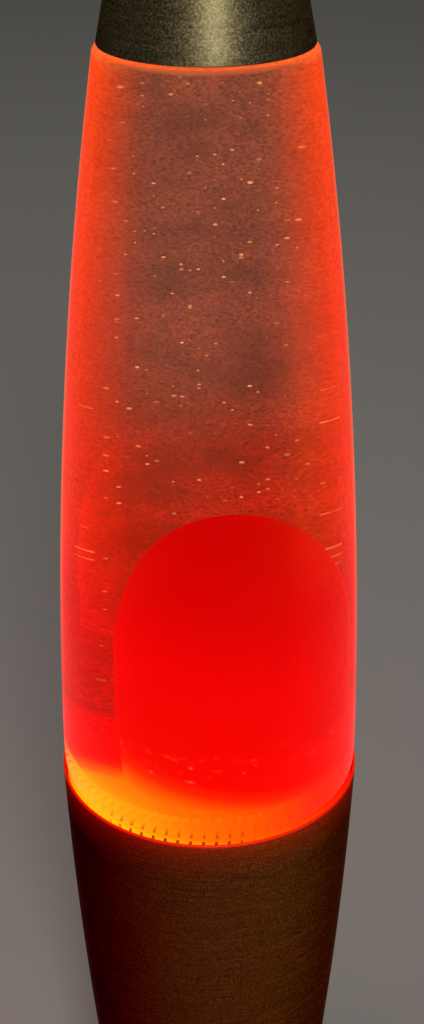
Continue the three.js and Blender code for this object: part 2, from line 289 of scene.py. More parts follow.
makeStudio()
print("camera, floor and light made")


# ---------- materials ----------
def scaleOf(*sizes):
    # the scale at which one unit of a pattern covers these sizes, in millimetres
    return tuple(1 / (size * mm) for size in sizes)


def spunAluminium():
    # Aluminium spun on a lathe, satin finished and warm toned: tall soft highlights, faint lines round
    # the axis, and a fine sparkle from the open grain
    material, tree, shader = newMaterial("spun satin aluminium")
    place = addNode(tree, "TexCoord").outputs["Object"]
    parts = addNode(tree, "SeparateXYZ", {0: place}).outputs
    # lathe lines are about 0.1 mm apart on the real metal; drawn 0.7 mm apart so that they show
    stretched = addNode(tree, "Mapping", {"Vector": place, "Scale": scaleOf(12, 12, 0.7)})
    lines = addNode(tree, "TexNoise", {"Vector": stretched, "Scale": 1.0, "Detail": 2.0})
    grain = addNode(tree, "TexNoise", {"Vector": place, "Scale": 1 / (0.5 * mm), "Detail": 3.0})
    mixed = addNode(tree, "Math", {0: lines, 1: 0.3, 2: grain}, operation="MULTIPLY_ADD")
    tone = addNode(tree, "ValToRGB", {"Fac": mixed})
    setRamp(tone, (0.45, "#665b42"), (0.62, "#827654"), (0.85, "#b4a676"))
    # painted light: the red cast that the lit wax gives the metal below it is painted into its colour,
    # stronger on its left, and none on the cap
    reach = {"From Min": rimZ * mm, "From Max": (rimZ + 40) * mm, "To Min": 1.0, "To Max": 0.0}
    below = addNode(tree, "MapRange", {"Value": parts["Z"], **reach})
    side = addNode(tree, "MapRange", {"Value": parts["X"], "From Min": -30 * mm, "From Max": 20 * mm})
    cast = addNode(tree, "ValToRGB", {"Fac": side})
    setRamp(cast, (0.0, "#c02c1a"), (0.5, "#dc8c68"), (1.0, "#ffb080"))
    paintedCastTone = addNode(tree, "MixRGB", {0: below, 1: tone, 2: cast}, blend_type="MULTIPLY")
    polish = {"From Min": 0.45, "From Max": 0.85, "To Min": 0.33, "To Max": 0.43}
    # painted light: wax light spilling over the rim is painted as a glow, a bright line on the lip and a glow
    # that fades down the wall
    glowing = {"From Min": (rimZ - 12) * mm, "From Max": rimZ * mm}
    rimGlowLevel = addNode(tree, "MapRange", {"Value": parts["Z"], **glowing})
    paintedRimGlow = addNode(tree, "ValToRGB", {"Fac": rimGlowLevel})
    setRamp(paintedRimGlow, (0.0, 0.0), (0.62, 0.05), (0.93, 0.14), (0.98, 0.8))
    surface = {
        "Base Color": paintedCastTone,
        "Metallic": 1.0,
        "Roughness": addNode(tree, "MapRange", {"Value": mixed, **polish}),
        "Specular Tint": fromHex("#8c4a30"),  # painted reflection: its edges are tinted brown
        "Anisotropic": 0.5,
        "Tangent": addNode(tree, "Tangent", direction_type="RADIAL", axis="Z"),
        "Normal": addNode(tree, "Bump", {"Height": mixed, "Strength": 0.24, "Distance": 0.06 * mm}),
        "Emission Color": fromHex("#ff1406"),
        "Emission Strength": addNode(tree, "Math", {0: paintedRimGlow, 1: below}, operation="MULTIPLY"),
    }
    setSockets(tree, shader, surface)
    return material


def levelOverGlass(tree, height):
    # 0 at the base rim and 1 at the cap rim
    return addNode(tree, "MapRange", {"Value": height, "From Min": rimZ * mm, "From Max": capRimZ * mm})


def glassFace(name, refraction, glow=False):
    # Soda glass, blown in a mould: clear and smooth
    material, tree, shader = newMaterial(name)
    clear = fromHex("#fbf6ee")
    surface = {"Base Color": clear, "Roughness": 0.0, "Transmission Weight": 1.0, "IOR": refraction}
    setSockets(tree, shader, surface)
    if not glow:
        return material
    # Painted light: lit wax sends light up inside the wall, and where the glass is seen edge on it is painted
    # glowing, red beside the wax and orange above it.
    # Painted shade darkens it there too, as the dyed fluid behind it lets less through
    place = addNode(tree, "TexCoord").outputs["Object"]
    facing = addNode(tree, "LayerWeight", {"Blend": 0.5}).outputs["Facing"]
    level = levelOverGlass(tree, addNode(tree, "SeparateXYZ", {0: place}).outputs["Z"])
    through = addNode(tree, "ValToRGB", {"Fac": facing})
    setRamp(through, (0.1, "#fbf6ee"), (0.3, "#d8b8a8"), (0.5, "#a06858"), (0.8, "#703020"))
    overPool = addNode(tree, "MapRange", {"Value": level, "From Min": 0.04, "From Max": 0.14})
    paintedGlowColour = addNode(tree, "ValToRGB", {"Fac": level})
    setRamp(
        paintedGlowColour,
        (0.0, "#e00200"),
        (0.32, "#e80500"),
        (0.42, "#ff2c02"),
        (0.7, "#ff3403"),
        (0.985, "#ff4605"),
        (1.0, "#ff7a34"),
    )
    # the glow keeps closer to the edge at the height of the blob than it does above
    width = addNode(tree, "MapRange", {"Value": level, "From Min": 0.3, "From Max": 0.75, "To Min": 0.8})
    spread = addNode(tree, "Math", {0: facing, 1: width}, operation="MULTIPLY")
    strength = addNode(tree, "ValToRGB", {"Fac": spread})
    setRamp(strength, (0.1, 0.0), (0.2, 0.09), (0.27, 0.23), (0.35, 0.34), (0.45, 0.52), (0.62, 0.74))
    # fine streaks, under a millimetre high, where the painted glow fades into the fluid
    stretched = addNode(tree, "Mapping", {"Vector": place, "Scale": scaleOf(1.6, 1.6, 0.7)})
    streaks = addNode(tree, "TexNoise", {"Vector": stretched, "Scale": 1.0, "Detail": 3.0})
    contrast = {"From Min": 0.3, "From Max": 0.7, "To Min": 0.72, "To Max": 1.2}
    uneven = addNode(tree, "MapRange", {"Value": streaks, **contrast})
    streaked = addNode(tree, "Math", {0: strength, 1: uneven}, operation="MULTIPLY")
    # painted highlight: the shoulder under the cap is painted shining all round
    band = {"From Min": 0.991, "From Max": 0.9975, "To Max": 0.45}
    shoulder = addNode(tree, "MapRange", {"Value": level, **band})
    # and a painted hair-thin paler line of glow runs along the very edge
    line = addNode(tree, "MapRange", {"Value": facing, "From Min": 0.82, "From Max": 0.92})
    beside = addNode(tree, "MapRange", {"Value": level, "From Min": 0.2, "From Max": 0.4})
    outline = addNode(tree, "MixRGB", {0: beside, 1: fromHex("#ff0600"), 2: fromHex("#ff5c14")})
    lit = {
        "Base Color": addNode(tree, "MixRGB", {0: overPool, 1: clear, 2: through}),
        "Specular Tint": fromHex("#701c0c"),  # painted reflection: what the glass mirrors is tinted dark red
        "Emission Color": addNode(tree, "MixRGB", {0: line, 1: paintedGlowColour, 2: outline}),
        "Emission Strength": addNode(tree, "Math", {0: streaked, 1: shoulder}, operation="MAXIMUM"),
    }
    setSockets(tree, shader, lit)
    return material


def lampFluid():
    # Dyed water with wax haze and crumbs in it: brown-violet to the eye, red near the wax, grainy all over
    # with bright orange specks. The haze and the specks glow as painted light, and the red near the wax is
    # painted light in both the dye and the glow. The dye and the haze act once, where light leaves the fluid.
    material, tree, shader = newMaterial("tinted lamp fluid")
    place = addNode(tree, "TexCoord").outputs["Object"]
    parts = addNode(tree, "SeparateXYZ", {0: place}).outputs
    leaving = addNode(tree, "NewGeometry").outputs["Backfacing"]
    level = levelOverGlass(tree, parts["Z"])
    # painted light: the dye is tinted redder low down, near the wax
    tinted = addNode(tree, "ValToRGB", {"Fac": level})
    setRamp(tinted, (0.12, "#d01004"), (0.3, "#c01804"), (0.43, "#c03c1c"), (0.6, "#cb6450"))
    haze = addNode(tree, "ValToRGB", {"Fac": level})
    setRamp(
        haze,
        (0.0, "#b00000"),
        (0.16, "#980200"),
        (0.3, "#8c0a02"),
        (0.44, "#780e04"),
        (0.52, "#66200f"),
        (0.7, "#602618"),
        (1.0, "#70301c"),
    )
    # clouds about 10 mm across, and grain of half a millimetre
    clouds = addNode(tree, "TexNoise", {"Vector": place, "Scale": 1 / (10 * mm), "Detail": 4.0})
    cloudy = {"From Min": 0.32, "From Max": 0.68, "To Min": 0.6, "To Max": 1.35}
    patches = addNode(tree, "MapRange", {"Value": clouds, **cloudy})
    grain = addNode(tree, "TexNoise", {"Vector": place, "Scale": 1 / (0.5 * mm), "Detail": 2.0})
    grainy = {"From Min": 0.3, "From Max": 0.7, "To Min": 0.35, "To Max": 1.65}
    rough = addNode(tree, "MapRange", {"Value": grain, **grainy})
    uneven = addNode(tree, "Math", {0: patches, 1: rough}, operation="MULTIPLY")
    # the painted glow of the haze is stronger to the right, and golden brown there, clear of the red of the
    # wax
    sideways = {"From Min": -30 * mm, "From Max": 30 * mm, "To Min": 0.95, "To Max": 1.5}
    strongerRight = addNode(tree, "MapRange", {"Value": parts["X"], **sideways})
    hazeGlowStrength = addNode(tree, "Math", {0: uneven, 1: strongerRight}, operation="MULTIPLY")
    rightHand = {"From Min": 8 * mm, "From Max": 22 * mm, "To Max": 0.85}
    gold = addNode(tree, "MapRange", {"Value": parts["X"], **rightHand})
    aboveWax = addNode(tree, "MapRange", {"Value": level, "From Min": 0.12, "From Max": 0.24})
    golden = addNode(tree, "Math", {0: gold, 1: aboveWax}, operation="MULTIPLY")
    toned = addNode(tree, "MixRGB", {0: golden, 1: haze, 2: fromHex("#7c3810")})
    hazy = addNode(tree, "VectorMath", {0: toned, "Scale": hazeGlowStrength}, operation="SCALE")
    # one speck in each 1.1 mm of fluid, most of them too small to see
    cells = addNode(tree, "TexVoronoi", {"Vector": place, "Scale": 1 / (1.1 * mm)}).outputs
    chance = addNode(tree, "SeparateColor", {0: cells["Color"]}).outputs
    fewer = addNode(tree, "Math", {0: chance[0], 1: 6.0}, operation="POWER")
    size = addNode(tree, "MapRange", {"Value": fewer, "To Max": 0.36})
    specks = addNode(tree, "Math", {0: cells["Distance"], 1: size}, operation="LESS_THAN")
    crumb = addNode(tree, "MixRGB", {0: chance[1], 1: fromHex("#a04a2a"), 2: fromHex("#f8985c")})
    surface = {
        "Base Color": addNode(tree, "MixRGB", {0: leaving, 1: (1, 1, 1, 1), 2: tinted}),
        "Roughness": 0.0,
        "Transmission Weight": 1.0,
        "IOR": 1.0,
        "Emission Color": addNode(tree, "MixRGB", {0: specks, 1: hazy, 2: crumb}),
        "Emission Strength": leaving,
    }
    setSockets(tree, shader, surface)
    return material


def paintedWaxGlow(tree, parts):
    # painted light: the glow is yellow where the wax is thin over the floor, on the side nearer the hot lamp,
    # then orange and an even deep red, dimmer at the top
    across = addNode(tree, "Math", {0: parts["X"], 1: 0.2, 2: parts["Z"]}, operation="MULTIPLY_ADD")
    back = addNode(tree, "Math", {0: parts["Y"], 1: 0.06, 2: across}, operation="MULTIPLY_ADD")
    # painted shade: the far half of the pool, hidden from the lamp's brightest part, stays red
    halfway = {"From Min": -2 * mm, "From Max": 28 * mm, "To Max": 24 * mm}
    farther = addNode(tree, "MapRange", {"Value": parts["Y"], **halfway})
    lean = addNode(tree, "Math", {0: back, 1: farther}, operation="ADD")
    low, high = 147.0, 237.0
    level = addNode(tree, "MapRange", {"Value": lean, "From Min": low * mm, "From Max": high * mm})
    stops = (  # height in millimetres, colour
        (147.5, "#ffd00a"),
        (149.5, "#ffa806"),
        (152.5, "#ff7402"),
        (156, "#ff5200"),
        (159, "#ff2400"),
        (163, "#ff0200"),
        (195, "#fa0000"),
        (215, "#e00000"),
        (236, "#cc0000"),
    )
    ramp = addNode(tree, "ValToRGB", {"Fac": level})
    return setRamp(ramp, *(((z - low) / (high - low), code) for z, code in stops))


def moltenWax():
    # Paraffin wax with red dye, lit through from the bulb below; that light is painted in as its own glow
    material, tree, shader = newMaterial("molten red wax")
    place = addNode(tree, "TexCoord").outputs["Object"]
    parts = addNode(tree, "SeparateXYZ", {0: place}).outputs
    # painted light: the far side of the blob, which stands over the bulb's brightest part, is painted up to
    # 7.5 times brighter
    above = addNode(tree, "MapRange", {"Value": parts["Z"], "From Min": 166 * mm, "From Max": 176 * mm})
    behind = {"From Min": 6 * mm, "From Max": 15 * mm, "To Max": 6.5}
    far = addNode(tree, "MapRange", {"Value": parts["Y"], **behind})
    # a few paler crumbs of wax, 3 mm wide and 1 mm high, cling low on the blob
    flat = addNode(tree, "Mapping", {"Vector": place, "Scale": scaleOf(3, 3, 1)})
    flecks = addNode(tree, "TexNoise", {"Vector": flat, "Scale": 1.0, "Detail": 4.0})
    sparse = addNode(tree, "MapRange", {"Value": flecks, "From Min": 0.63, "From Max": 0.7})
    belt = addNode(tree, "MapRange", {"Value": parts["Z"], "From Min": 162 * mm, "From Max": 165 * mm})
    fading = {"From Min": 171 * mm, "From Max": 178 * mm, "To Min": 0.6, "To Max": 0.0}
    under = addNode(tree, "MapRange", {"Value": parts["Z"], **fading})
    inBelt = addNode(tree, "Math", {0: belt, 1: under}, operation="MULTIPLY")
    shown = addNode(tree, "Math", {0: sparse, 1: inBelt}, operation="MULTIPLY")
    paintedGlowColour = paintedWaxGlow(tree, parts)
    surface = {
        "Base Color": fromHex("#3a0000"),
        "Roughness": 0.5,
        "Specular IOR Level": 0.05,
        "Emission Color": addNode(tree, "MixRGB", {0: shown, 1: paintedGlowColour, 2: fromHex("#ff6040")}),
        "Emission Strength": addNode(tree, "Math", {0: above, 1: far, 2: 1.0}, operation="MULTIPLY_ADD"),
    }
    setSockets(tree, shader, surface)
    return material


def waxedSteel():
    # Spring wire under a film of hot wax: the outer halves of the turns show dark where they are low
    # and in front, and everything else is lost in the painted glow of the wax
    material, tree, shader = newMaterial("spring steel wire under wax")
    place = addNode(tree, "TexCoord").outputs["Object"]
    parts = addNode(tree, "SeparateXYZ", {0: place}).outputs
    stain = addNode(tree, "TexNoise", {"Vector": place, "Scale": 1 / (4 * mm)})
    tone = setRamp(addNode(tree, "ValToRGB", {"Fac": stain}), (0.4, "#5a3a28"), (0.6, "#8a6850"))
    flat = addNode(tree, "CombineXYZ", {"X": parts["X"], "Y": parts["Y"]})
    out = addNode(tree, "VectorMath", {0: flat}, operation="LENGTH").outputs["Value"]
    fades = (  # where, from and to in millimetres, glow from and to
        (parts["Z"], 154.5, 157.5, 0.12, 1.0),
        (parts["X"], 2, 14, 0.0, 0.9),
        (parts["X"], -28, -20, 0.9, 0.0),
        (parts["Y"], -20, 0, 0.0, 0.75),
        (out, 32, 34, 1.0, 0.0),
    )
    glow = 0.0
    for where, start, end, dim, bright in fades:
        limits = {"From Min": start * mm, "From Max": end * mm, "To Min": dim, "To Max": bright}
        lit = addNode(tree, "MapRange", {"Value": where, **limits})
        glow = addNode(tree, "Math", {0: glow, 1: lit}, operation="MAXIMUM")
    # painted light: turns that stand out of the pool are painted with the glow of its surface
    drowned = addNode(tree, "Math", {0: parts["Z"], 1: 155.2 * mm}, operation="MINIMUM").outputs[0]
    paintedFilmGlow = paintedWaxGlow(tree, {"X": parts["X"], "Y": parts["Y"], "Z": drowned})
    surface = {
        "Base Color": tone,
        "Metallic": 0.8,
        "Roughness": 0.4,
        "Emission Color": paintedFilmGlow,
        "Emission Strength": glow,
    }
    setSockets(tree, shader, surface)
    return material


def coatedMetal(name, light, dark, roughness, size):
    # A plated or drawn metal: a base tone with soft mottling of the given size in millimetres
    material, tree, shader = newMaterial(name)
    place = addNode(tree, "TexCoord").outputs["Object"]
    patches = addNode(tree, "TexNoise", {"Vector": place, "Scale": 1 / (size * mm), "Detail": 4.0})
    limits = {"To Min": roughness * 0.75, "To Max": roughness * 1.3}
    surface = {
        "Base Color": setRamp(addNode(tree, "ValToRGB", {"Fac": patches}), (0.35, dark), (0.65, light)),
        "Metallic": 1.0,
        "Roughness": addNode(tree, "MapRange", {"Value": patches, **limits}),
    }
    setSockets(tree, shader, surface)
    return material


def mouldedStuff(name, colour, roughness, size):
    # Moulded plastic or rubber: a fine spark-eroded texture of the given size in millimetres
    material, tree, shader = newMaterial(name)
    place = addNode(tree, "TexCoord").outputs["Object"]
    pits = addNode(tree, "TexNoise", {"Vector": place, "Scale": 1 / (size * mm), "Detail": 3.0})
    limits = {"To Min": roughness * 0.85, "To Max": min(1.0, roughness * 1.15)}
    surface = {
        "Base Color": addNode(tree, "MixRGB", {0: 0.35, 1: fromHex(colour), 2: pits}, blend_type="MULTIPLY"),
        "Roughness": addNode(tree, "MapRange", {"Value": pits, **limits}),
        "Normal": addNode(tree, "Bump", {"Height": pits, "Strength": 0.25, "Distance": 0.04 * mm}),
    }
    setSockets(tree, shader, surface)
    return material


def silveredGlass():
    # Bulb glass with a mirror of vapour-plated aluminium inside: bright, and softened by fine dust
    material, tree, shader = newMaterial("silvered bulb glass")
    place = addNode(tree, "TexCoord").outputs["Object"]
    dust = addNode(tree, "TexNoise", {"Vector": place, "Scale": 1 / (3 * mm), "Detail": 4.0})
    rough = addNode(tree, "MapRange", {"Value": dust, "To Min": 0.1, "To Max": 0.24})
    setSockets(tree, shader, {"Base Color": fromHex("#f4f2ea"), "Metallic": 1.0, "Roughness": rough})
    return material


def frostedGlassFace():
    # Satin frosted face of the bulb, warm where the lit filament shines on it
    material, tree, shader = newMaterial("frosted bulb glass")
    surface = {
        "Base Color": fromHex("#f4f2ea"),
        "Roughness": 0.35,
        "Transmission Weight": 0.7,
        "IOR": 1.5,
        "Emission Color": fromHex("#ffb060"),
        "Emission Strength": 1.6,
    }
    setSockets(tree, shader, surface)
    return material


def tungsten():
    # A coiled filament at work: a bright warm wire, with turns 2 mm apart so that they show
    material, tree, shader = newMaterial("lit tungsten wire")
    place = addNode(tree, "TexCoord").outputs["Object"]
    coils = addNode(tree, "TexWave", {"Vector": place, "Scale": 1 / (2 * mm)}).outputs[1]
    bright = addNode(tree, "MapRange", {"Value": coils, "To Min": 6.0, "To Max": 14.0})
    setSockets(tree, shader, {"Emission Color": fromHex("#ffc070"), "Emission Strength": bright})
    return material


glassIor, fluidIor = 1.5, 1.36
aluminium = spunAluminium()
outerGlass = glassFace("bottle glass", glassIor, True)
wettedGlass = glassFace("bottle glass against the fluid", glassIor / fluidIor)
innerGlass = glassFace("bottle glass, dry inside", glassIor)
fluid = lampFluid()
wax = moltenWax()
coilSteel = waxedSteel()
zinc = coatedMetal("zinc plated steel", "#c2c2bb", "#8e8e89", 0.35, 2.5)
brass = coatedMetal("drawn brass", "#d8b464", "#a98338", 0.28, 3.0)
tinplate = coatedMetal("tinplate", "#cdc8bb", "#a19c8f", 0.3, 2.0)
blackPlastic = mouldedStuff("black moulded polypropylene", "#1d1d1f", 0.55, 0.4)
blackRubber = mouldedStuff("black moulded rubber", "#141414", 0.85, 0.5)
whitePlastic = mouldedStuff("white phenolic", "#e6e1d6", 0.4, 0.5)
mirrorGlass = silveredGlass()
frostedGlass = frostedGlassFace()
stemGlass = glassFace("bulb stem glass", glassIor)
filamentWire = tungsten()
print("materials made")


# ---------- the bottle, its fluid and the wax ----------
bottle = {
    "widest": 40.87,
    "narrowing": 14.0,  # of the radius over the visible glass, growing with the square of height
    "lastPinch": 0.62,
    "drawIn": 8.0,  # the wall draws in over this height to pass the rim
    "wall": 2.4,
    "heel": 5.5,
    "floor": 3.0,
    "neck": 12.0,
    "bore": 8.5,
    "wallTop": 348.0,  # the inside leaves the wall's curve for the shoulder here
}

cup = {"swell": 0.17, "taper": 0.31}  # the base cup swells towards its rim


def cupOutside(z):
    drop = (z - rimZ) / glassTall
    return rimRadius * (1 + cup["swell"] * drop - cup["taper"] * drop * drop)


def bottleOutside(z):
    if z < rimZ:
        return cupOutside(z) - shell - fit
    t = (z - rimZ) / glassTall
    spindle = bottle["widest"] - bottle["narrowing"] * t**2 - bottle["lastPinch"] * t**4
    entry = bottle["widest"] - cupOutside(rimZ) + shell + fit
    return spindle - entry * max(0.0, 1 - (z - rimZ) / bottle["drawIn"]) ** 2


def bottleInside(z):
    return bottleOutside(z) - bottle["wall"]


def makeBottle():
    floorZ = lowOf("globe_bottle").z
    mouthZ = highOf("globe_bottle").z
    floorTop = floorZ + bottle["floor"]
    heel = bottle["heel"]
    heelZ = floorZ + heel
    heelOut = bottleOutside(heelZ) - heel
    innerHeel = heel - 1.5
    heelIn = bottleInside(heelZ) - innerHeel
    wallTop = bottle["wallTop"]
    topZ = capRimZ - 1.5
    underside = [
        (0, floorZ + 1.2),
        (heelOut - 14, floorZ + 0.5),
        (heelOut - 4, floorZ),
        *[
            (heelOut + heel * math.sin(a), heelZ - heel * math.cos(a))
            for a in span(0, math.radians(75), 8)
        ],
    ]
    heights = [heelZ, *span(rimZ - 4, rimZ + 10, 10), *span(rimZ + 14, topZ, 40)]
    # up over the shoulder and the neck, round the mouth, and down inside them
    neck = filleted(
        [
            (bottleOutside(topZ), topZ),
            (26.1, 354.6, 0.7),
            (24.4, 355.0, 1.2),
            (17.5, 359.6, 2.4),
            (13.4, 365, 2.6),
            (bottle["neck"], 371, 2),
            (bottle["neck"], 378, 0.4),
            (bottle["neck"] + 1, 378.8, 0.4),
            (bottle["neck"] + 1, mouthZ, 0.8),
            (bottle["bore"], mouthZ, 0.8),
            (bottle["bore"], 368, 2),
            (10.8, 362.6, 2),
            (15.4, 357.4, 2.4),
            (22.9, 352.8, 2),
            (bottleInside(wallTop + 1), wallTop + 1),
        ],
        6,
    )[1:]
    inside = [
        *[(bottleInside(z), z) for z in reversed(span(rimZ + 4, wallTop, 40))],
        *[(bottleInside(z), z) for z in reversed(span(heelZ + 2, rimZ + 3, 6))],
        *[
            (heelIn + innerHeel * math.cos(a), floorTop + innerHeel - innerHeel * math.sin(a))
            for a in span(0, math.pi / 2, 8)
        ],
        (0, floorTop + 0.6),
    ]
    bm = spunMesh([*underside, *[(bottleOutside(z), z) for z in heights], *neck, *inside])
    # the inner faces get the glass that meets fluid, up to its level, and dry glass above
    fillZ = highOf("liquid").z
    shoulderZ = wallTop + 4
    for face in bm.faces:
        centre = face.calc_center_median()
        radius = math.hypot(centre.x, centre.y)
        hollow = (
            centre.z > floorTop - 1
            and radius < bottleOutside(min(centre.z, capRimZ)) - bottle["wall"] * 0.6
        )
        if centre.z > shoulderZ:
            inwards = face.normal.x * centre.x + face.normal.y * centre.y < 0
            hollow = inwards or centre.z < shoulderZ + 1.4 and radius < 24.2
        face.material_index = 0 if not hollow else (1 if centre.z < fillZ else 2)
    glasses = [outerGlass, wettedGlass, innerGlass]
    finishPiece("glassBottle", bm, glasses, "globe", "globe_bottle", 60)


def makeFluid():
    low = lowOf("globe_bottle").z + bottle["floor"] + 0.9
    top = highOf("liquid").z
    clear = 0.08  # stays just inside the glass
    heights = [*span(rimZ - 5.5, rimZ + 9, 8), *span(rimZ + 14, bottle["wallTop"], 36)]
    outline = [
        (0, low),
        (33.5, low),
        (35.6, low + 0.8),
        (36.9, low + 2.6),
        *[(bottleInside(z) - clear, z) for z in heights],
        (23.6, 350.8),
        (22.4, 352.6),
        (15.6, 356.8),
        (14.6, top + 0.3),
        (13.6, top),
        (0, top),
    ]
    finishPiece("lampFluid", spunMesh(outline), [fluid], "globe", "liquid", 60)


pool = {
    "bottom": 147.8,
    "top": 155.5,
    "coreRadius": 25.8,
    "edge": 154.9,  # the coil's turns stand out of the thin wax near the wall
}


def makePool():
    low, top, edge, core = pool["bottom"], pool["top"], pool["edge"], pool["coreRadius"]
    outline = [
        (0, low + 0.8),
        (33, low + 0.8),
        (36.0, low + 2.4),
        (37.0, edge - 1),
        (bottleInside(edge) - fit, edge + 0.6),
        (35.6, edge),
        (core + 1.5, edge + 0.1),
        (core - 1.5, top - 0.4),
        (23, top - 0.1),
        (0, top),
    ]
    finishPiece("waxPool", spunMesh(outline), [wax], "globe", "wax_pool", 60)


blob = {
    "radius": 22.3,
    "belt": 190.0,  # half an ellipsoid above this height, sides drawing in below it
    "waist": 20.9,  # radius at the pool
    "foot": 148.2,  # its round bottom lies hidden in the pool
    "ripple": 0.15,
    "rippleSize": 14.0,
    "square": 0.87,  # under 1, the shoulders are fuller than an ellipsoid's
}


def makeBlob():
    top = highOf("wax_blob").z
    centre = middleOf("wax_blob").x
    radius, belt, waist, bottom, square = (blob[key] for key in ("radius", "belt", "waist", "foot", "square"))
    dome = [
        (radius * max(0.0, math.cos(a)) ** square, belt + (top - belt) * math.sin(a) ** square)
        for a in span(0, math.pi / 2, 36)
    ]
    waistZ = bottom + 8
    sides = [
        (radius - (radius - waist) * (1 - s) ** 2, waistZ + (belt - waistZ) * s) for s in span(0, 1, 14)
    ]
    rounded = [(0, bottom), (12, bottom + 0.4), (18, bottom + 2.6), (20.4, bottom + 5.5)]
    bm = spunMesh([*rounded, *sides, *dome[1:]], 128)
    # the surface of soft wax is never quite true
    for vert in bm.verts:
        push = noise.noise(vert.co / blob["rippleSize"]) * blob["ripple"]
        vert.co += Vector((vert.co.x, vert.co.y, 0)).normalized() * push
    moveTo(bm, centre, 0)
    finishPiece("waxBlob", bm, [wax], "wax", "wax_blob", 80)


coil = {"turns": 70, "ring": 32.0, "turn": 5.0, "wire": 0.45, "steps": 18}


def makeCoil():
    # A closed ring of spring wire: the path winds round the ring's own centre line
    middleZ = middleOf("heating_coil").z
    curve = bpy.data.curves.new("coilPath", "CURVE")
    curve.dimensions = "3D"
    spline = curve.splines.new("POLY")
    count = coil["turns"] * coil["steps"]
    spline.points.add(count - 1)
    for i in range(count):
        around = 2 * math.pi * i / count
        turn = around * coil["turns"]
        radius = coil["ring"] + coil["turn"] * math.cos(turn)
        z = middleZ + coil["turn"] * math.sin(turn)
        spline.points[i].co = (radius * math.cos(around), radius * math.sin(around), z, 1)
    spline.use_cyclic_u = True
    curve.bevel_depth = coil["wire"]
    curve.bevel_resolution = 1
    winding = linkObject("coilPath", curve)
    bpy.context.view_layer.update()
    wire = bpy.data.meshes.new_from_object(winding)
    bpy.data.objects.remove(winding)
    bm = bmesh.new()
    bm.from_mesh(wire)
    bpy.data.meshes.remove(wire)
    finishPiece("heatingCoil", bm, [coilSteel], "globe", "heating_coil", 80)


crown = {"flutes": 21, "depth": 0.3, "flat": 1.2, "fade": 4.0}  # the flutes deepen below the flat lid


def makeCrown():
    # Crown cork: a flat lid whose skirt is pressed into flutes
    top = highOf("crown_cap").z
    low = lowOf("crown_cap").z
    outline = filleted(
        [
            (0, top),
            (13.3, top, 0.9),
            (14.2, top - 2.6, 0.6),
            (15.8, low + 0.2, 0.15),
            (15.4, low, 0.15),
            (13.8, top - 2.8, 0.6),
            (12.9, top - 0.5, 0.5),
            (0, top - 0.4),
        ],
        5,
    )
    bm = spunMesh(outline, 8 * crown["flutes"])
    for vert in bm.verts:
        depth = max(0.0, min(1.0, (top - crown["flat"] - vert.co.z) / crown["fade"]))
        wave = math.cos(crown["flutes"] * math.atan2(vert.co.y, vert.co.x))
        outwards = Vector((vert.co.x, vert.co.y, 0)).normalized()
        vert.co -= outwards * (crown["depth"] * depth * (1 - wave))
    finishPiece("crownCork", bm, [tinplate], "globe", "crown_cap", 50)


makeBottle()
makeFluid()
makePool()
makeBlob()
makeCoil()
makeCrown()
print("bottle, fluid, wax and coil made")


# ---------- rods, holes and turned pieces ----------
def rodMesh(radius, low, high, sides=32):
    return spunMesh([(0, low), (radius, low), (radius, high), (0, high)], sides)


def gathered(parts):
    # several closed bodies in one mesh, each with its own (x, y)
    bm = bmesh.new()
    for part, places in parts:
        for x, y in places:
            mesh = bpy.data.meshes.new("part")
            part.to_mesh(mesh)
            mesh.transform(Matrix.Translation((x, y, 0)))
            bm.from_mesh(mesh)
            bpy.data.meshes.remove(mesh)
        part.free()
    return bm


def cutOut(piece, cutters, crease=32):
    mesh = bpy.data.meshes.new("cutters")
    cutters.to_mesh(mesh)
    cutters.free()
    mesh.transform(Matrix.Scale(mm, 4))
    tool = linkObject("cutters", mesh)
    change = piece.modifiers.new("holes", "BOOLEAN")
    change.operation = "DIFFERENCE"
    change.solver = "EXACT"
    change.object = tool
    bpy.context.view_layer.update()
    graph = bpy.context.evaluated_depsgraph_get()
    done = bpy.data.meshes.new_from_object(piece.evaluated_get(graph), depsgraph=graph)
    piece.modifiers.clear()
    piece.data = done
    done.set_sharp_from_angle(angle=math.radians(crease))
    bpy.data.objects.remove(tool)
    bpy.data.meshes.remove(mesh)


def ridges(outer, depth, pitch, low, high):
    # the profile of a thread, as rings
    halves = 2 * round((high - low) / pitch)
    return [
        (outer - depth * (step % 2), low + (high - low) * step / halves) for step in range(halves + 1)
    ]


def turned(name, node, outline, material, body, slot, sides=64, at=(0, 0), ring=False, crease=32):
    bm = moveTo(spunMesh(outline, sides, ring), *at)
    return finishPiece(name, bm, [material], body, node, crease)


web = {"stud": 2.3, "vent": 3.2, "reach": 3}  # hole radii in the waist, and the cutters' half height
studs = placesRound(3, 22, 90)  # count, radius, first angle
vents = placesRound(6, 27, 0)
feet = placesRound(3, 34, 30)


def webHoles():
    webZ = highOf("foot_flare").z
    low, high = webZ - web["reach"], webZ + web["reach"]
    return gathered([(rodMesh(web["stud"], low, high), studs), (rodMesh(web["vent"], low, high), vents)])


# ---------- the top cap ----------
cap = {"rim": 25.6, "taper": 0.196, "edge": 6.0}


def makeCap():
    straightTop = lampTop - cap["edge"]

    def outside(z):
        return cap["rim"] - cap["taper"] * (z - capRimZ)

    corner = outside(lampTop)
    heights = span(capRimZ + 4, straightTop - 12, 8)
    outline = filleted(
        [
            (0, lampTop),
            (corner, lampTop, 5.0),
            (outside(straightTop - 6), straightTop - 6),
            *[(outside(z), z) for z in reversed(heights)],
            (cap["rim"], capRimZ + 0.02, 0.3),
            (cap["rim"] - shell, capRimZ + 0.02, 0.3),
            *[(outside(z) - shell, z) for z in heights],
            (outside(straightTop - 6) - shell, straightTop - 6),
            (corner - shell * 0.9, lampTop - shell, 4.6),
            (0, lampTop - shell),
        ],
        10,
    )
    finishPiece("spunCap", spunMesh(outline), [aluminium], "cap", "top_cap", 40)


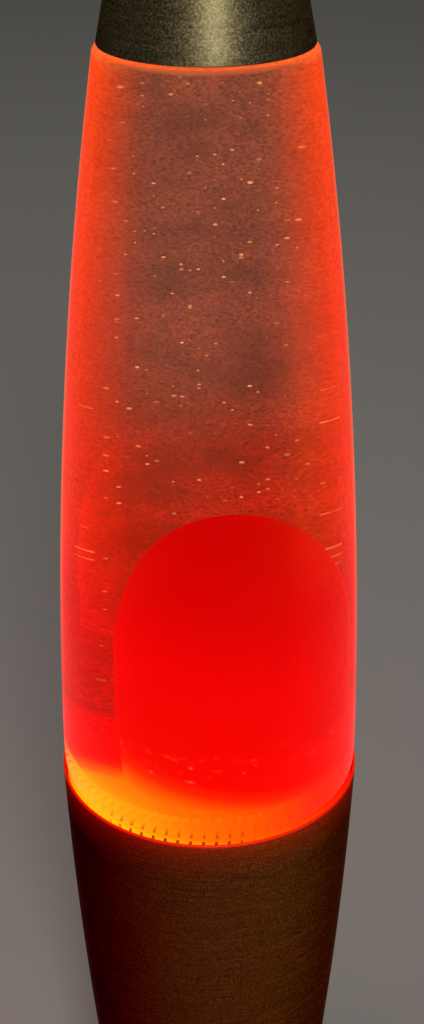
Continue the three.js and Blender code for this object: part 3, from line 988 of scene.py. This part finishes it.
# ---------- the base ----------
def makeCup():
    low = lowOf("base_cup").z
    webTop = low + shell
    heights = span(webTop + 3, rimZ - 1, 26)
    outline = filleted(
        [
            (nippleHole, low),
            (cupOutside(low), low, 0.9),
            *[(cupOutside(z), z) for z in heights],
            (cupOutside(rimZ), rimZ, 0.3),
            (cupOutside(rimZ) - shell, rimZ, 0.3),
            *[(cupOutside(z) - shell, z) for z in reversed(heights)],
            (cupOutside(webTop) - shell, webTop, 0.8),
            (nippleHole, webTop),
        ],
        5,
    )
    bm = spunMesh(outline, ring=True)
    piece = finishPiece("baseCup", bm, [aluminium], "base", "base_cup", 40)
    cutOut(piece, webHoles(), 40)


foot = {"band": 45.0, "bandTop": 16.5, "bead": 1.4, "cordHole": 4.4}


def makeFoot():
    low = lowOf("foot_flare").z
    waistZ = highOf("foot_flare").z
    waist = cupOutside(waistZ)
    band, bandTop, beadSize = foot["band"], foot["bandTop"], foot["bead"]

    def flare(z):
        return waist + (band - waist) * ((waistZ - z) / (waistZ - bandTop)) ** 2

    heights = list(reversed(span(bandTop + 2.5, waistZ - 1.5, 16)))
    bead = [
        (band + 0.4 + beadSize * math.cos(a), low + beadSize + beadSize * math.sin(a))
        for a in span(math.radians(70), math.radians(-150), 14)
    ]
    outline = filleted(
        [
            (nippleHole, waistZ),
            (waist, waistZ, 0.8),
            *[(flare(z), z) for z in heights],
            (band, bandTop, 1.8),
            (band, 5.2, 0.6),
            *bead,
            (band - shell, 4.6, 0.4),
            (band - shell, bandTop - 0.4, 1.4),
            *[(flare(z) - shell, z - 0.4) for z in reversed(heights)],
            (waist - shell, waistZ - shell, 0.5),
            (nippleHole, waistZ - shell),
        ],
        6,
    )
    bm = spunMesh(outline, ring=True)
    piece = finishPiece("footFlare", bm, [aluminium], "base", "foot_flare", 40)
    cutOut(piece, webHoles(), 40)
    cordHole = layAlongY(rodMesh(foot["cordHole"], band - 10, band + 10, 48))
    cutOut(piece, moveTo(cordHole, 0, 0, middleOf("cord_grommet").z), 40)


plate = {
    "slots": 9,
    "slotTurn": 0.2,  # radians
    "slotSize": (10, 2.6, 8),
    "slotPlace": 12,
    "screwHole": 1.9,
    "footHole": 3.2,
}


def makePlate():
    low, high = lowOf("bottom_plate").z, highOf("bottom_plate").z
    wide = highOf("bottom_plate").x
    outline = filleted([(3, low, 0.3), (wide, low, 0.4), (wide, high, 0.4), (3, high, 0.3)])
    piece = turned(
        "bottomPlate", "bottom_plate", outline, blackPlastic, "base", "black_plastic", 160, ring=True
    )
    slots = bmesh.new()
    for step in range(plate["slots"]):
        turn = Matrix.Rotation(2 * math.pi * step / plate["slots"] + plate["slotTurn"], 4, "Z")
        shape = Matrix.Translation((plate["slotPlace"], 0, low)) @ Matrix.Diagonal((*plate["slotSize"], 1))
        bmesh.ops.create_cube(slots, size=1.0, matrix=turn @ shape)
    screwHole = rodMesh(plate["screwHole"], low - 2, high + 2)
    footHole = rodMesh(plate["footHole"], low - 2, high + 2)
    cutOut(piece, gathered([(slots, [(0, 0)]), (screwHole, studs), (footHole, feet)]))


def makeFeet():
    plateLow, plateTop = lowOf("bottom_plate").z, highOf("bottom_plate").z
    outline = filleted(
        [
            (0, 0),
            (5.4, 0, 0.3),
            (6, 0.7, 0.3),
            (6, plateLow - fit, 0.4),
            (2.9, plateLow - fit),
            (2.9, plateTop + fit),
            (3.9, plateTop + fit, 0.2),
            (2.2, plateTop + 2.6, 0.3),
            (0, plateTop + 2.6),
        ]
    )
    for i, place in enumerate(feet, 1):
        turned(f"rubberFoot{i}", f"rubber_foot_{i}", outline, blackRubber, "base", "black_rubber", 48, place)


def makePlateScrews():
    plateLow, plateTop = lowOf("bottom_plate").z, highOf("bottom_plate").z
    headTop = plateLow - fit
    outline = [
        (0, 2.4),
        (0.9, 2.4),
        (1.1, 1.3),
        (1.8, 1.3),
        (2.6, 1.6),
        (3, 2.2),
        (3, headTop),
        (1.4, headTop),
        *ridges(1.4, 0.2, 0.7, plateTop + 1, plateLow + 10),
        (0, plateLow + 11),
    ]
    for i, place in enumerate(studs, 1):
        turned(f"plateScrew{i}", f"plate_screw_{i}", outline, zinc, "base", "zinc_steel", 48, place)


def makeGrommet():
    wallOut = foot["band"]
    wallIn = wallOut - shell
    outline = filleted(
        [
            (3, wallIn - 2.4, 0.3),
            (5, wallIn - 2.4, 0.3),
            (5, wallIn - 1.1),
            (4, wallIn - 1.1),
            (4, wallOut + fit),
            (5, wallOut + fit),
            (4.7, wallOut + 1.5, 0.4),
            (3, wallOut + 1.5, 0.3),
        ]
    )
    bm = layAlongY(spunMesh(outline, 64, True))
    moveTo(bm, 0, 0, middleOf("cord_grommet").z)
    finishPiece("cordGrommet", bm, [blackRubber], "base", "cord_grommet")


# ---------- inside the base ----------
def makeSeat():
    top = highOf("globe_seat").z
    low = lowOf("globe_seat").z
    outline = filleted(
        [
            (30, top - 0.8, 0.3),
            (cupOutside(top) - shell - 1.9, top - 0.8, 0.5),
            (cupOutside(low) - shell - 1.2, low, 0.3),
            (cupOutside(low) - shell - fit, low, 0.3),
            (cupOutside(top) - shell - fit, top, 0.6),
            (30, top, 0.3),
        ]
    )
    turned("globeSeat", "globe_seat", outline, zinc, "base", "zinc_steel", 128, ring=True)


holder = {"joint": 56.0, "wide": 14.0, "skirtTop": 76.0, "bore": 8.1}  # dome and skirt meet at the joint


def makeHolder():
    low = lowOf("lampholder_dome").z
    joint, wide, top, bore = (holder[key] for key in ("joint", "wide", "skirtTop", "bore"))
    dome = [
        (nippleHole, low),
        (10, low, 1.2),
        (wide, low + 4, 1.6),
        (wide, joint, 0.3),
        (12.4, joint),
        (12.4, low + 4.6, 1.2),
        (9.4, low + 2.4, 0.8),
        (nippleHole, low + 2.4, 0.3),
    ]
    skirt = [
        (12.3, joint + fit),
        (wide, joint + fit, 0.3),
        (wide, 61, 0.4),
        (12.6, 62, 0.3),
        (12.6, top, 0.5),
        (bore, top, 0.3),
        (bore, 60.1),
        (12.3, 60.1),
    ]
    white = (whitePlastic, "base", "white_plastic")
    turned("holderDome", "lampholder_dome", filleted(dome), *white, ring=True)
    turned("holderSkirt", "lampholder_skirt", filleted(skirt), *white, ring=True)
    thread = [*ridges(7.7, 0.15, 2.8, 60.1, 74.6), (7.3, 74.6), (7.3, 60.1)]
    turned("holderThread", "lampholder_thread", thread, brass, "base", "brass", ring=True, crease=60)
    screw = [
        (0, 51),
        (0.8, 51),
        (0.9, 50.4),
        (2, 50.4),
        (2.4, 50.8),
        (2.4, 51.9),
        (1.2, 51.9),
        (1.2, 56.6),
        (0, 56.6),
    ]
    turned("terminalScrewA", "terminal_screw_1", screw, brass, "base", "brass", 32, (8, 0))
    turned("terminalScrewB", "terminal_screw_2", screw, brass, "base", "brass", 32, (-8, 0))


def makeNipple():
    nipple = [*ridges(5, 0.25, 1.0, 33, 49.6), (3.6, 49.6), (3.6, 33)]
    turned("threadedNipple", "threaded_nipple", nipple, zinc, "base", "zinc_steel", ring=True)
    low, high = lowOf("nipple_washer").z, highOf("nipple_washer").z
    washer = [(nippleHole, low), (9, low, 0.15), (9, high, 0.15), (nippleHole, high)]
    turned("nippleWasher", "nipple_washer", filleted(washer), zinc, "base", "zinc_steel", ring=True)


bulb = {"face": 10.5, "wall": 0.8, "neck": 6.2}  # the frosted face rises this far above the widest place


def makeBulb():
    top = highOf("bulb_envelope").z
    low = lowOf("bulb_envelope").z
    wide = highOf("bulb_envelope").x
    belt = top - bulb["face"]
    wall, neck = bulb["wall"], bulb["neck"]

    def front(shrink):
        return [
            ((wide - shrink) * math.cos(a), belt + (top - belt - shrink) * math.sin(a))
            for a in span(0, math.pi / 2, 16)
        ]

    cone = filleted(
        [
            (neck, low),
            (neck, 88.5, 2),
            (8.5, 92.5, 2),
            (13, 100, 3),
            (17, 108.5, 4),
            (wide, belt - 0.5, 2.5),
            (wide, belt),
        ],
        6,
    )[:-1]
    inner = [(r - wall, z + (0.4 if z > 89 else 0)) for r, z in reversed(cone)]
    bm = spunMesh([*cone, *front(0), *reversed(front(wall)), *inner], 96, True)
    for face in bm.faces:
        face.material_index = 1 if face.calc_center_median().z > belt + 1.5 else 0
    finishPiece("bulbEnvelope", bm, [mirrorGlass, frostedGlass], "bulb", "bulb_envelope", 60)
    screwCap = [
        (3.2, 65),
        (5.6, 65.4),
        (6.85, 67.4),
        *ridges(7.1, 0.25, 2.8, 68, 85),
        (8, 86.8),
        (8, 88),
        (7.7, 88),
        (7.5, 87),
        (6.6, 86),
        (6.6, 67.8),
        (5.4, 65.9),
        (3.2, 65.5),
    ]
    turned("bulbScrewCap", "bulb_screw_cap", screwCap, brass, "bulb", "brass", ring=True, crease=60)
    insulator = [(0, 62.7), (2.5, 62.7), (5, 64.6), (2.8, 64.6), (0, 64.6)]
    turned("bulbInsulator", "bulb_insulator", insulator, blackPlastic, "bulb", "black_plastic", 48)
    tipZ = lowOf("bulb_tip").z
    tip = [(0, tipZ), (1.4, tipZ), (2.3, 62.4), (0, 62.4)]
    turned("bulbTip", "bulb_tip", tip, zinc, "bulb", "zinc_steel", 32)
    stem = filleted([(0, 69), (5, 69), (5, 70, 0.4), (2.4, 73, 1), (2.4, 88, 1), (1.6, 91, 0.5), (0, 91)])
    turned("bulbStem", "bulb_stem", stem, stemGlass, "bulb", "bulb_glass", 48)


def makeLiner():
    # the soft disc inside the crown cork
    low, high = lowOf("crown_liner").z, highOf("crown_liner").z
    disc = [(0, low), (12.4, low), (12.4, high), (0, high)]
    turned("crownLiner", "crown_liner", disc, blackRubber, "globe", "black_rubber")


def dress(material, *names):
    # small hidden pieces keep their own shape
    for name in names:
        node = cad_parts[name]
        node.data.materials.clear()
        node.data.materials.append(material)


dress(zinc, "nipple_nut", "bulb_lead_1", "bulb_lead_2")
dress(zinc, *(f"standoff_{i}" for i in (1, 2, 3)), *(f"standoff_nut_{i}" for i in (1, 2, 3)))
dress(brass, "earth_tag", "centre_contact")
dress(whitePlastic, "lampholder_insert")
dress(filamentWire, "bulb_filament")
print("small pieces dressed")

makeCap()
makeCup()
makeFoot()
makePlate()
makeFeet()
makePlateScrews()
makeGrommet()
print("cap and base made")
makeSeat()
makeHolder()
makeNipple()
makeBulb()
makeLiner()
print("lampholder and bulb made")
